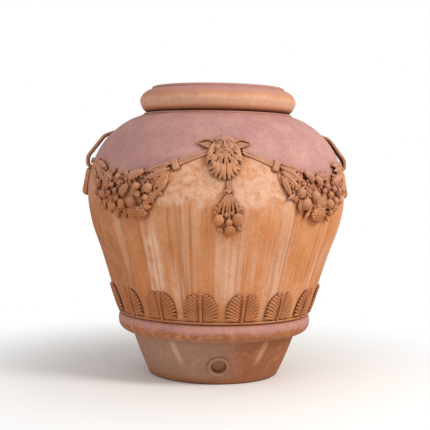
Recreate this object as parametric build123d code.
from build123d import *
import math
import os

os.makedirs("parts", exist_ok=True)

# A large hand built terracotta jar. The origin is the middle of the base and +Z is up. The front
# mask looks towards -Y, and the handles stand at +X and -X. An angle on the wall counts from the
# front towards +X. Lengths are millimetres and angles are degrees.

# Driving dimensions of the coiled and thrown body
height = 800.0
foot_radius = 181.0
foot_top_radius = 234.0
foot_swell = 2.0
foot_edge = 9.0
floor_thickness = 34.0
wall = 28.0
belt_level = 153.0
belt_roll = 21.0
ridge_roll = 5.5
ridge_rise = 8.0
belly_foot_radius = 263.0
belly_radius = 359.0
neck_radius = 186.0
mouth_radius = 155.0
neck_rise = 70.0
neck_bead = 5.0
rim_swell = 32.0
lip_rise = 13.0
lip_edge = 6.0

# The belly's outside between belt and neck: share of that rise, share of the belly's radius
belly_shares = [
    (0.119, 0.797), (0.299, 0.886), (0.460, 0.971), (0.586, 1.0),
    (0.714, 0.977), (0.856, 0.869), (0.946, 0.713),
]
# The rim roll's outside from its foot to its top: share of its swell, share of its rise
rim_shares = [(0.56, 0.10), (0.90, 0.34), (1.0, 0.52), (0.90, 0.69), (0.42, 0.92)]
waist_share = 0.46
shoulder_share = 0.80
seat_clearance = 0.25
band_count = 4
belly_spans = 6

# The blind bung boss, low on the front
bung_level = 53.0
bung_radius = 30.0
bung_bore = 20.5
bung_proud = 5.5
bung_depth = 9.0
bung_edge = 3.5

# The row of leaves that stands on the belt
leaf_count = 16
leaf_width = 78.0
leaf_length = 84.0
leaf_skin = 3.0
leaf_lobe = 3.4
leaf_rib = 4.2
lobe_count = 9
# One side of a leaf: share of its half width, share of its length
leaf_side_shares = [(0.70, 0.0), (0.98, 0.14), (1.0, 0.32), (0.90, 0.55), (0.68, 0.78), (0.36, 0.94)]

# The masks, front and back
mask_share = 0.75
mask_height = 123.0
mask_depth = 17.0
hair_count = 8
beard_side_count = 5
beard_front_count = 9

# The pendants under the masks
pendant_share = 0.594
pendant_angle = 0.8
pendant_height = 138.0
pendant_mound = 6.0

# The festoons, the collars that hold their ends and the cords that carry them
festoon_angle = 45.0
festoon_half_angle = 24.0
festoon_low_share = 0.551
festoon_drop = 145.0
festoon_swell = 11.0
fruit_radius = 12.2
mound_steps = 6
collar_length = 18.0
collar_width = 30.0
collar_depth = 9.0
collar_edge = 4.0
collar_lean_angle = 25.0
cord_rail = 4.2
mask_cord_angle = 7.0
mask_cord_share = 0.770
handle_cord_share = 0.738

# The strap handles and the tongues under them
handle_angle = 90.0
strap_width = 46.0
strap_thickness = 9.0
strap_corner = 3.0
strap_gap = 15.5
strap_root_share = 0.865
strap_bend_share = 0.819
strap_elbow_share = 0.744
strap_heel_share = 0.721
elbow_radius = 30.0
heel_radius = 9.0
tongue_length = 54.0
tongue_radius = 14.0
tongue_lobe = 10.5

# Parts of a mask, as shares of its height: across, up from its middle, out and radius, twice
# over for a lump that runs from one place to another
nose_shares = (0.0, 0.27, 0.12, 0.030, 0.0, 0.15, 0.155, 0.052)
nostril_shares = (0.050, 0.135, 0.120, 0.034)
eye_shares = (0.105, 0.215, 0.085, 0.040)
cheek_shares = (0.150, 0.090, 0.060, 0.080)
brow_shares = (0.040, 0.280, 0.125, 0.028, 0.175, 0.285, 0.085, 0.024)
whisker_shares = (0.020, 0.080, 0.135, 0.036, 0.180, 0.000, 0.090, 0.020)
lip_shares = (-0.045, 0.030, 0.120, 0.024, 0.045, 0.030, 0.120, 0.024)
ear_shares = (0.285, 0.275, 0.010, 0.100, 0.590, 0.330, 0.010, 0.022)
ear_hollow_shares = (0.330, 0.290, 0.105, 0.060, 0.510, 0.322, 0.055, 0.024)

# Parts of a pendant, as shares of its height, in the same order as on a mask
ribbon_shares = [
    (-0.035, 0.50, 0.0, 0.030, -0.015, 0.31, 0.01, 0.030),
    (0.035, 0.50, 0.0, 0.030, 0.015, 0.31, 0.01, 0.030),
    (0.0, 0.31, 0.01, 0.034, -0.095, 0.285, 0.01, 0.026),
    (0.0, 0.31, 0.01, 0.034, 0.095, 0.305, 0.01, 0.026),
    (-0.010, 0.29, 0.02, 0.026, -0.110, -0.055, 0.01, 0.030),
    (-0.005, 0.29, 0.02, 0.026, -0.050, -0.085, 0.02, 0.030),
    (0.005, 0.29, 0.02, 0.026, 0.015, -0.140, 0.03, 0.030),
    (0.010, 0.29, 0.02, 0.026, 0.090, -0.050, 0.01, 0.030),
    (-0.215, -0.030, 0.0, 0.024, -0.120, 0.020, 0.01, 0.036),
    (0.215, -0.020, 0.0, 0.024, 0.130, 0.050, 0.01, 0.036),
    (0.170, 0.085, 0.0, 0.022, 0.105, 0.115, 0.01, 0.030),
]
pendant_fruit_shares = [
    (-0.165, -0.180, 0.025, 0.098), (0.205, -0.165, 0.025, 0.115),
    (0.040, -0.360, 0.020, 0.098), (0.030, -0.250, 0.020, 0.070), (-0.135, -0.385, 0.005, 0.060),
]

# Fruit on a festoon: share of its half angle, share of its drop, share of the fruit's radius
left_round_shares = [
    (0.34, 0.59, 0.85), (0.56, 0.57, 1.0), (0.39, 0.46, 0.7), (0.24, 0.33, 1.2), (-0.12, 0.51, 0.6),
    (-0.28, 0.46, 0.6), (-0.07, 0.38, 0.6), (-0.46, 0.44, 0.9), (-0.56, 0.31, 0.8), (-0.20, 0.60, 0.6),
    (-0.08, 0.74, 0.6), (0.53, 0.41, 0.65), (-0.64, 0.62, 0.9), (-0.70, 0.46, 0.7), (-0.15, 0.25, 0.7),
    (0.19, 0.15, 0.6), (0.28, 0.19, 0.6), (0.37, 0.17, 0.6), (0.46, 0.19, 0.6), (0.33, 0.08, 0.55),
    (0.24, 0.08, 0.5), (0.42, 0.10, 0.5), (-0.41, 0.76, 0.5), (-0.33, 0.72, 0.5), (-0.42, 0.66, 0.5),
    (-0.34, 0.62, 0.5),
]
right_round_shares = [
    (-0.56, 0.52, 1.0), (-0.24, 0.46, 1.2), (-0.45, 0.34, 1.3), (0.16, 0.33, 1.15), (0.15, 0.50, 0.7),
    (0.05, 0.63, 0.75), (-0.03, 0.55, 0.6), (0.46, 0.54, 1.0), (0.64, 0.57, 0.85), (0.35, 0.38, 0.85),
    (0.20, 0.18, 0.7), (0.28, 0.58, 0.7), (0.52, 0.38, 0.75), (-0.24, 0.23, 0.6), (-0.14, 0.24, 0.6),
    (-0.05, 0.22, 0.6), (-0.19, 0.15, 0.6), (-0.10, 0.14, 0.6), (-0.15, 0.07, 0.55), (-0.05, 0.08, 0.5),
    (-0.06, 0.82, 0.5), (0.02, 0.82, 0.5), (-0.02, 0.75, 0.5),
]
# Pears, cones and leaves on a festoon: the same shares at one end and then at the other
left_drop_shares = [
    (0.04, 0.47, 1.0, 0.15, 0.60, 0.55), (0.02, 0.35, 0.5, 0.02, 0.23, 0.85), (0.20, 0.74, 0.95, 0.42, 0.83, 0.6),
    (0.46, 0.86, 0.45, 0.86, 0.96, 0.5), (0.48, 0.74, 0.45, 0.86, 0.87, 0.45), (0.62, 0.62, 0.45, 0.88, 0.80, 0.4),
    (0.66, 0.46, 0.4, 0.84, 0.70, 0.4), (0.50, 0.30, 0.45, 0.68, 0.46, 0.4), (-0.26, 0.32, 0.45, -0.30, 0.14, 0.35),
    (-0.08, 0.22, 0.45, -0.15, 0.06, 0.35), (-0.42, 0.32, 0.45, -0.50, 0.22, 0.35),
    (-0.93, 0.92, 0.45, -0.64, 0.78, 0.5), (-0.86, 0.99, 0.4, -0.55, 0.88, 0.5), (-0.92, 0.80, 0.4, -0.76, 0.58, 0.4),
]
right_drop_shares = [
    (-0.86, 0.92, 0.5, -0.46, 0.68, 0.45), (-0.86, 0.82, 0.45, -0.56, 0.62, 0.4),
    (-0.88, 0.74, 0.4, -0.70, 0.44, 0.4), (-0.82, 0.97, 0.45, -0.50, 0.86, 0.45),
    (-0.44, 0.87, 0.55, -0.30, 0.74, 0.75), (-0.20, 0.78, 0.5, -0.10, 0.68, 0.7), (0.30, 0.69, 0.95, 0.52, 0.79, 0.6),
    (0.40, 0.90, 0.4, 0.80, 0.98, 0.45), (0.62, 0.74, 0.45, 0.92, 0.92, 0.45), (0.74, 0.60, 0.4, 0.90, 0.82, 0.4),
    (0.36, 0.28, 0.45, 0.50, 0.24, 0.35), (-0.60, 0.36, 0.45, -0.50, 0.24, 0.35),
]
# A festoon's own outline: middle and half depth at its centre, and what each gains at its ends
mound_middle_share = 0.42
mound_middle_end_share = 0.48
mound_half_share = 0.38
mound_half_end_share = 0.27
mound_span_share = 0.95
mound_proud_share = 0.50
back_share = 0.10

# Worked out from the sizes above
belt_bottom = belt_level - belt_roll
belt_top = belt_level + belt_roll
belt_radius = (foot_top_radius + belly_foot_radius) / 2
neck_level = height - neck_rise
belly_rise = neck_level - belt_top
ridge_level = belt_top + ridge_rise
leaf_level = ridge_level + ridge_roll
waist_level = belt_top + belly_rise * waist_share
shoulder_level = belt_top + belly_rise * shoulder_share
festoon_low = height * festoon_low_share
collar_level = festoon_low + festoon_drop - collar_edge
past_wall = belly_radius * 2
cord_end_angle = math.degrees((cord_rail + seat_clearance) / belly_radius)


def arcs_along(curve, spans):
    """A smooth curve again as arcs that run on into each other, two to each span of it"""
    arcs = []
    for span in range(spans):
        start, end = curve.position_at(span / spans), curve.position_at((span + 1) / spans)
        start_run, end_run = curve.tangent_at(span / spans), curve.tangent_at((span + 1) / spans)
        chord = end - start
        along = chord.dot(start_run + end_run)
        bend = 2 * (1 - start_run.dot(end_run))
        reach = chord.dot(chord) / (along + math.sqrt(along ** 2 + bend * chord.dot(chord)))
        first, second = start + start_run * reach, end - end_run * reach
        middle = (first + second) / 2
        arcs.append(TangentArc(start, middle, tangent=start_run))
        arcs.append(TangentArc(middle, end, tangent=second - first))
    return arcs


def outside_edges():
    """The wall's outside from the floor to the neck, drawn in the XZ plane"""
    foot_low = Vector(foot_radius, 0, 0)
    foot_high = Vector(foot_top_radius, 0, belt_bottom)
    belly_low = Vector(belly_foot_radius, 0, belt_top)
    stations = [belly_low]
    for rise_share, radius_share in belly_shares:
        stations.append(Vector(belly_radius * radius_share, 0, belt_top + belly_rise * rise_share))
    stations.append(Vector(neck_radius, 0, neck_level))
    return [
        ThreePointArc(foot_low, (foot_low + foot_high) / 2 + Vector(foot_swell, 0, 0), foot_high),
        Line(foot_high, belly_low),
        *arcs_along(Spline(*stations), belly_spans),
    ]


outline = outside_edges()


def wall_point(level, lift=0.0):
    """The outline's point at a level, moved out along the wall's normal, and that normal"""
    edge = outline[-1]
    for candidate in outline:
        if level <= candidate.position_at(1).Z:
            edge = candidate
            break
    low, high = 0.0, 1.0
    for _ in range(36):
        middle = (low + high) / 2
        if edge.position_at(middle).Z < level:
            low = middle
        else:
            high = middle
    along = edge.tangent_at(low)
    normal = Vector(along.Z, 0, -along.X)
    return edge.position_at(low) + normal * lift, normal


def wall_plane(angle, level):
    """The plane that touches the wall: X to the right, Y up the wall and Z out of it"""
    point, normal = wall_point(level)
    turn = math.radians(angle)
    out = Vector(math.sin(turn), -math.cos(turn), 0)
    origin = out * point.X + Vector(0, 0, point.Z)
    right = Vector(math.cos(turn), math.sin(turn), 0)
    return Plane(origin, x_dir=right, z_dir=out * normal.X + Vector(0, 0, normal.Z))


def wall_spot(angle, level, lift=0.0):
    """A place over the wall"""
    plane = wall_plane(angle, level)
    return plane.origin + plane.z_dir * lift


def near_seat(angle, level, across, up, lift):
    """A place over the wall, counted along and up the wall from a seat"""
    point, normal = wall_point(level)
    return wall_spot(angle + math.degrees(across / point.X), level + up * normal.X, lift)


def solid_of_turn(edges):
    """Close a half section onto the jar's axis and turn it round that axis"""
    low, high = edges[0].position_at(0), edges[-1].position_at(1)
    closing = Polyline(high, Vector(0, 0, high.Z), Vector(0, 0, low.Z), low)
    return revolve(make_face([*edges, *closing.edges()]), Axis.Z)


def ring_of_turn(edges):
    """Close a section that stays clear of the axis and turn it round"""
    return revolve(make_face(edges), Axis.Z)


def slab(low, high):
    """All that lies between two levels"""
    upright = (Align.CENTER, Align.CENTER, Align.MIN)
    return Pos(0, 0, low) * Cylinder(past_wall, high - low, align=upright)


def ball(place, radius):
    """A round lump, with its poles in line with the jar's radius"""
    return Plane(place, z_dir=(place.X, place.Y, 0)) * Sphere(radius)


def taper(start, start_radius, end, end_radius):
    """A lump with round ends that runs from one place to another"""
    run = end - start
    out = Vector(start.X, start.Y, 0)
    out = out - run * (out.dot(run) / run.dot(run))
    lean = math.asin((start_radius - end_radius) / run.length)
    side = Vector(math.cos(lean), 0, math.sin(lean))
    low_turn, high_turn = (lean - math.pi / 2) / 2, (lean + math.pi / 2) / 2
    low_middle = Vector(math.cos(low_turn), 0, math.sin(low_turn)) * start_radius
    far = Vector(0, 0, run.length)
    high_middle = far + Vector(math.cos(high_turn), 0, math.sin(high_turn)) * end_radius
    low, high = Vector(0, 0, -start_radius), far + Vector(0, 0, end_radius)
    side_low, side_high = side * start_radius, far + side * end_radius
    half = make_face([
        ThreePointArc(low, low_middle, side_low),
        Line(side_low, side_high),
        ThreePointArc(side_high, high_middle, high),
        Line(high, low),
    ])
    return Plane(start, x_dir=out, z_dir=run) * revolve(half, Axis.Z)


def joined(lumps):
    """One solid of many lumps"""
    return lumps[0].fuse(*lumps[1:])


def largest(shape):
    """The main solid of a shape that a cut may have left crumbs beside"""
    return max(shape.solids(), key=lambda solid: solid.volume)


def unpocketed(solid):
    """The same solid with any pocket that lumps closed off inside it filled"""
    shells = solid.shells()
    if len(shells) == 1:
        return solid
    return Solid(max(shells, key=lambda shell: shell.area))


def seat_edges():
    """The outside again as short straight bands, a hair proud of the wall, for reliefs to sit on"""
    points = [Vector(foot_radius + seat_clearance, 0, 0)]
    for edge in outline:
        for band in range(1, band_count + 1):
            along = edge.tangent_at(band / band_count)
            out = Vector(along.Z, 0, -along.X)
            points.append(edge.position_at(band / band_count) + out * seat_clearance)
    return Polyline(*points).edges()


def relief(lumps, *neighbours):
    """Join lumps and cut them back to the wall, and to what already lies on it"""
    shape = joined(lumps) - seat
    for neighbour in neighbours:
        shape = shape - neighbour
    return unpocketed(largest(shape))


def turned(shape, angle):
    """The same piece, further round the jar"""
    return Rot(0, 0, angle) * shape


def save(shape, name):
    """Write one piece"""
    export_step(shape, "parts/" + name + ".step", write_pcurves=False)


# The body: a filled jar to cut all else with, its hollow, and the wall between the two
filled = solid_of_turn(outline)
inside_points = [Vector(foot_radius - wall, 0, 0)]
for level in (belt_bottom, belt_top):
    inside_points.append(wall_point(level, -wall)[0])
for rise_share, _ in belly_shares:
    inside_points.append(wall_point(belt_top + belly_rise * rise_share, -wall)[0])
inside_points.append(wall_point(neck_level, -wall)[0])
hollow = solid_of_turn([Spline(*inside_points)])
shell = filled - hollow
neck_foot = inside_points[-1].Z
neck_core = slab(0, height) & Cylinder(neck_radius, height * 2)
seat = solid_of_turn(list(seat_edges()))


def make_foot_wall():
    """The leaning foot, rounded where it stands, with the blind recess of the bung"""
    foot = shell & slab(0, belt_level)
    round_edges = foot.edges().filter_by(GeomType.CIRCLE).group_by(Axis.Z)[0]
    foot = fillet(round_edges.sort_by(SortBy.RADIUS)[-1], foot_edge)
    recess = wall_plane(0, bung_level) * Cylinder(bung_bore, bung_depth * 2)
    return foot - recess


def make_bung_boss():
    """The raised ring round the recess"""
    upright = (Align.CENTER, Align.CENTER, Align.MIN)
    ring = Pos(0, 0, -bung_depth) * Cylinder(bung_radius, bung_depth + bung_proud, align=upright)
    ring = ring - Cylinder(bung_bore, past_wall)
    ring = fillet(ring.edges().group_by(Axis.Z)[-1], bung_edge)
    return largest(wall_plane(0, bung_level) * ring - filled)


def make_neck_wall():
    """The upright neck, with the lip at its top"""
    low, high = Vector(mouth_radius, 0, neck_foot), Vector(neck_radius, 0, height)
    middle = (low + high) / 2
    section = Pos(*middle) * Rot(90, 0, 0) * Rectangle(neck_radius - mouth_radius, height - neck_foot)
    neck = revolve(section, Axis.Z)
    return fillet(neck.edges().group_by(Axis.Z)[-1], lip_edge)


def make_rim_roll():
    """The coil laid round the neck"""
    rim_low, rim_high = neck_level - neck_bead, height - lip_rise
    points = [Vector(neck_radius, 0, rim_low)]
    for swell_share, rise_share in rim_shares:
        rise = rim_low + (rim_high - rim_low) * rise_share
        points.append(Vector(neck_radius + rim_swell * swell_share, 0, rise))
    points.append(Vector(neck_radius, 0, rim_high))
    return ring_of_turn([Spline(*points), Line(points[-1], points[0])]) - filled


def make_coil(level, radius, roll):
    """A roll of clay round the jar, cut back to the wall behind it"""
    return Pos(0, 0, level) * Torus(radius, roll) - filled


def leaf_outline():
    """A leaf, flat, with its foot on the X axis"""
    right = []
    for width_share, length_share in leaf_side_shares:
        right.append(Vector(leaf_width / 2 * width_share, leaf_length * length_share))
    left = [Vector(-point.X, point.Y) for point in reversed(right)]
    side = Spline(*right, Vector(0, leaf_length), *left)
    return make_face([side, Line(left[-1], right[0])])


def leaf_half_width(length_share):
    """Half the leaf's width at a share of its length"""
    shares = [*leaf_side_shares, (0.0, 1.0)]
    for (width, start), (next_width, end) in zip(shares, shares[1:]):
        if length_share <= end:
            part = (length_share - start) / (end - start)
            return leaf_width / 2 * (width + (next_width - width) * part)
    return 0.0


def make_leaf():
    """One leaf at the front: a thin skin on the wall, a midrib and a row of lobes each side"""
    middle_level = leaf_level + leaf_length / 2 * wall_point(leaf_level)[1].X
    plane = wall_plane(0, middle_level)
    rise = leaf_length * 2 / (lobe_count - 1)
    top_points = []
    for step in range(lobe_count):
        top_points.append(wall_point(leaf_level - leaf_skin + rise * step / 2, leaf_skin)[0])
    skin = solid_of_turn(Polyline(*top_points).edges())
    flat = Pos(0, -leaf_length / 2, 0) * leaf_outline()
    plate = extrude(plane * flat, leaf_width / 4, both=True) & skin
    lumps = [plate]
    half = leaf_length / 2
    rib_foot = near_seat(0, middle_level, 0, leaf_rib - half, leaf_rib / 3)
    rib_tip = near_seat(0, middle_level, 0, half - leaf_rib * 2, leaf_rib / 4)
    lumps.append(taper(rib_foot, leaf_rib, rib_tip, leaf_rib * 5 / 4))
    for side in (-1, 1):
        for lobe in range(lobe_count):
            along = (lobe + 1) / (lobe_count + 1)
            start_up = leaf_length * (0.16 + 0.76 * along) - half
            end_share = 0.08 + 0.80 * along
            end_across = leaf_half_width(end_share) - leaf_lobe
            end_up = leaf_length * end_share - half
            start = near_seat(0, middle_level, side * leaf_rib, start_up, leaf_lobe / 2)
            end = near_seat(0, middle_level, side * end_across, end_up, leaf_lobe / 3)
            lumps.append(taper(start, leaf_lobe * 3 / 4, end, leaf_lobe))
    return relief(lumps, belt_ridge, slab(0, leaf_level))


def mask_spot(across, up, lift):
    """A place on a mask, by shares of its height"""
    level = height * mask_share
    return near_seat(0, level, mask_height * across, mask_height * up, mask_height * lift)


def mask_taper(shares, side=1):
    """A lump of a mask that runs from one place to another"""
    across, up, lift, radius, far_across, far_up, far_lift, far_radius = shares
    start = mask_spot(side * across, up, lift)
    end = mask_spot(side * far_across, far_up, far_lift)
    return taper(start, mask_height * radius, end, mask_height * far_radius)


def mask_fan(count, first, last, near, far, rise, lift, far_lift, radius, far_radius):
    """Locks of hair that spread from one middle, by angles from upright"""
    locks = []
    for lock in range(count):
        turn = math.radians(first + (last - first) * lock / (count - 1))
        across, up = math.sin(turn), math.cos(turn)
        locks.append(mask_taper((
            across * near, rise + up * near, lift, radius, across * far, rise + up * far, far_lift, far_radius,
        )))
    return locks


def cap(place_angle, place_level, half_width, proud):
    """A shallow dome on the wall, by its half width and how far it stands out"""
    bend = 2 * proud / half_width ** 2 + 1 / belly_radius
    return ball(wall_spot(place_angle, place_level, proud - 1 / bend), 1 / bend)


def make_mask():
    """The bearded mask with long pointed ears, at the front"""
    level = height * mask_share
    lumps = [
        cap(0, level + mask_height * 0.13, mask_height * 0.33, mask_depth),
        cap(0, level - mask_height * 0.16, mask_height * 0.36, mask_depth * 0.8),
        mask_taper(nose_shares),
        mask_taper(lip_shares),
    ]
    for side in (-1, 1):
        for across, up, lift, radius in (nostril_shares, eye_shares, cheek_shares):
            lumps.append(ball(mask_spot(side * across, up, lift), mask_height * radius))
        lumps.append(mask_taper(brow_shares, side))
        lumps.append(mask_taper(whisker_shares, side))
        lumps.append(mask_taper(ear_shares, side))
        lumps += mask_fan(beard_side_count, side * 88, side * 138, 0.20, 0.35, 0.08, 0.06, 0.01, 0.040, 0.024)
    lumps += mask_fan(hair_count, -64, 64, 0.17, 0.25, 0.22, 0.085, 0.045, 0.038, 0.028)
    lumps += mask_fan(beard_front_count, 122, 238, 0.14, 0.36, -0.06, 0.09, 0.02, 0.046, 0.030)
    mask = relief(lumps)
    for side in (-1, 1):
        mask = mask - mask_taper(ear_hollow_shares, side)
    return largest(mask)


def make_pendant(mask):
    """Ribbons, a bow, stems and fruit that hang under the front mask"""
    seat = (pendant_angle, height * pendant_share)

    def place(across, up, lift):
        return near_seat(*seat, pendant_height * across, pendant_height * up, pendant_height * lift)

    fruit_level = height * pendant_share - pendant_height * 0.19
    lumps = [cap(pendant_angle + 1, fruit_level, pendant_height * 0.27, pendant_mound)]
    for across, up, lift, radius, far_across, far_up, far_lift, far_radius in ribbon_shares:
        start, end = place(across, up, lift), place(far_across, far_up, far_lift)
        lumps.append(taper(start, pendant_height * radius, end, pendant_height * far_radius))
    for across, up, lift, radius in pendant_fruit_shares:
        lumps.append(ball(place(across, up, lift), pendant_height * radius))
    return relief(lumps, mask)


def festoon_spot(middle_angle, across, up, lift=0.0):
    """A place on a festoon, by a share of its half angle and of its drop"""
    angle = middle_angle + festoon_half_angle * across
    return wall_spot(angle, festoon_low + festoon_drop * up, lift)


def festoon_mound(middle_angle):
    """The crescent of clay that the fruit lies on, a little proud of the wall"""
    top_points = []
    low_edge = []
    high_edge = []
    for step in range(-mound_steps, mound_steps + 1):
        share = step / mound_steps
        level = festoon_low + festoon_drop * (1 + share * 3 / 2) / 2
        top_points.append(wall_point(level, festoon_swell * mound_proud_share)[0])
        across = share * mound_span_share
        half = festoon_drop * (mound_half_share - mound_half_end_share * across ** 2)
        middle = festoon_low + festoon_drop * (mound_middle_share + mound_middle_end_share * across ** 2)
        run = belly_radius * math.sin(math.radians(festoon_half_angle * across))
        low_edge.append(Vector(run, middle - half))
        high_edge.append(Vector(run, middle + half))
    edge = Polyline(*low_edge, *reversed(high_edge), low_edge[0])
    block = turned(extrude(Plane.XZ * make_face(edge), past_wall), middle_angle)
    return (block & solid_of_turn(Polyline(*top_points).edges())) - seat


def flat_backed(lump, angle, level):
    """A lump with its back cut flat, just inside the clay that it lies on"""
    depth = past_wall / 2 - festoon_swell * back_share
    return lump - wall_plane(angle, level) * Pos(0, 0, -depth) * Box(past_wall, past_wall, past_wall)


def festoon_ball(middle_angle, across, up, lift, radius):
    """One round fruit"""
    place = (middle_angle + festoon_half_angle * across, festoon_low + festoon_drop * up)
    return flat_backed(ball(wall_spot(*place, lift), radius), *place)


def make_festoon(middle_angle, rounds, drops, *neighbours):
    """A hanging swag of fruit, cones and leaves"""
    lumps = [festoon_mound(middle_angle)]
    for across, up, size in rounds:
        lumps.append(festoon_ball(middle_angle, across, up, festoon_swell * 3 / 4, fruit_radius * size))
    for across, up, size, far_across, far_up, far_size in drops:
        start = festoon_spot(middle_angle, across, up, festoon_swell / 2)
        end = festoon_spot(middle_angle, far_across, far_up, festoon_swell / 2)
        drop = taper(start, fruit_radius * size, end, fruit_radius * far_size)
        angle = middle_angle + festoon_half_angle * (across + far_across) / 2
        lumps.append(flat_backed(drop, angle, festoon_low + festoon_drop * (up + far_up) / 2))
    shape = joined(lumps)
    for neighbour in neighbours:
        shape = shape - neighbour
    return unpocketed(largest(shape))


def make_collar(angle, lean_angle):
    """A band across the cord where a festoon is tied"""
    block = Box(collar_length, collar_width, collar_depth * 2)
    block = fillet(block.edges(), collar_edge)
    return relief([wall_plane(angle, collar_level) * Rot(0, 0, lean_angle) * block])


def make_cord(start, end, *neighbours):
    """Two rails side by side along the wall, from one (angle, level) to another"""
    bow = belly_radius * (1 - math.cos(math.radians(end[0] - start[0]) / 2))
    lift = (bow + cord_rail) / 3
    lumps = []
    for side in (-1, 1):
        rise = side * cord_rail * 0.9
        near = wall_spot(start[0], start[1] + rise, lift)
        far = wall_spot(end[0], end[1] + rise, lift)
        lumps.append(taper(near, cord_rail * 0.95, far, cord_rail))
    return relief(lumps, *neighbours)


def make_strap():
    """The strap handle on the +X side, standing off the shoulder like a half loop"""
    stand = strap_gap + strap_thickness / 2
    path = FilletPolyline(
        wall_point(height * strap_root_share, -wall / 2)[0],
        wall_point(height * strap_bend_share, stand / 2)[0],
        wall_point(height * strap_elbow_share, stand)[0],
        wall_point(height * strap_heel_share, stand * 0.6)[0],
        wall_point(height * strap_heel_share - strap_thickness, -wall / 2)[0],
        radius=[elbow_radius, elbow_radius, heel_radius],
    )
    section = Plane(path @ 0, x_dir=(0, 1, 0), z_dir=path % 0)
    strap = sweep(section * RectangleRounded(strap_width, strap_thickness, strap_corner), path)
    return largest(strap - filled)


def make_tongue(strap):
    """The lobed tongue that ends the handle below the strap"""
    top_level = height * strap_heel_share - strap_thickness - tongue_radius / 2
    lumps = []
    for side in (-1, 0, 1):
        radius = tongue_lobe if side else tongue_radius
        run = tongue_length * (3 / 4 if side else 1)
        across = side * tongue_radius
        start = near_seat(handle_angle, top_level, across, 0, 0)
        end = near_seat(handle_angle, top_level, across * 3 / 4, -run, radius / 6)
        lumps.append(taper(start, radius * 0.9, end, radius))
    return relief(lumps, strap)


# The pieces of the body
save(hollow & slab(0, floor_thickness), "foot_floor")
save(make_foot_wall(), "foot_wall")
save(make_bung_boss(), "bung_boss")
save(make_coil(belt_level, belt_radius, belt_roll), "belt_roll")
belt_ridge = make_coil(ridge_level, wall_point(ridge_level)[0].X, ridge_roll)
save(belt_ridge, "belt_ridge")
save(shell & slab(belt_level, waist_level), "belly_lower_wall")
save(shell & slab(waist_level, shoulder_level), "belly_upper_wall")
save((shell & slab(shoulder_level, height)) - neck_core, "shoulder_wall")
bead_level = neck_level - neck_bead * 3 / 2
save(make_coil(bead_level, wall_point(bead_level)[0].X, neck_bead), "neck_bead")
save(make_neck_wall(), "neck_wall")
save(make_rim_roll(), "rim_roll")

# The leaves
leaf = make_leaf()
for place in range(leaf_count):
    save(turned(leaf, (place + 1 / 2) * 360 / leaf_count), f"leaf_{place + 1:02d}")

# The masks and pendants
mask = make_mask()
pendant = make_pendant(mask)
for name, angle in (("front", 0), ("back", 180)):
    save(turned(mask, angle), "mask_" + name)
    save(turned(pendant, angle), "pendant_" + name)

# The handles
strap = make_strap()
tongue = make_tongue(strap)
for name, angle in (("right", 0), ("left", 180)):
    save(turned(strap, angle), "handle_strap_" + name)
    save(turned(tongue, angle), "handle_tongue_" + name)

# The collars, cords and festoons of the front, repeated at the back
for side, name, rounds, drops in (
    (-1, "left", left_round_shares, left_drop_shares),
    (1, "right", right_round_shares, right_drop_shares),
):
    middle = side * festoon_angle
    inner_angle = side * (festoon_angle - festoon_half_angle)
    outer_angle = side * (festoon_angle + festoon_half_angle)
    inner_collar = make_collar(inner_angle, -side * collar_lean_angle)
    outer_collar = make_collar(outer_angle, side * collar_lean_angle)
    side_handle = turned(strap + tongue, 0 if side > 0 else 180)
    mask_end = (side * mask_cord_angle, height * mask_cord_share)
    handle_end = (side * (handle_angle - cord_end_angle), height * handle_cord_share)
    pieces = {
        "collar_inner": inner_collar,
        "collar_outer": outer_collar,
        "cord_inner": make_cord(mask_end, (inner_angle, collar_level), mask, inner_collar),
        "cord_outer": make_cord((outer_angle, collar_level), handle_end, outer_collar, side_handle),
        "festoon": make_festoon(middle, rounds, drops, inner_collar, outer_collar),
    }
    for kind, piece in pieces.items():
        save(piece, f"{kind}_front_{name}")
        back_name = "right" if name == "left" else "left"
        save(turned(piece, 180), f"{kind}_back_{back_name}")
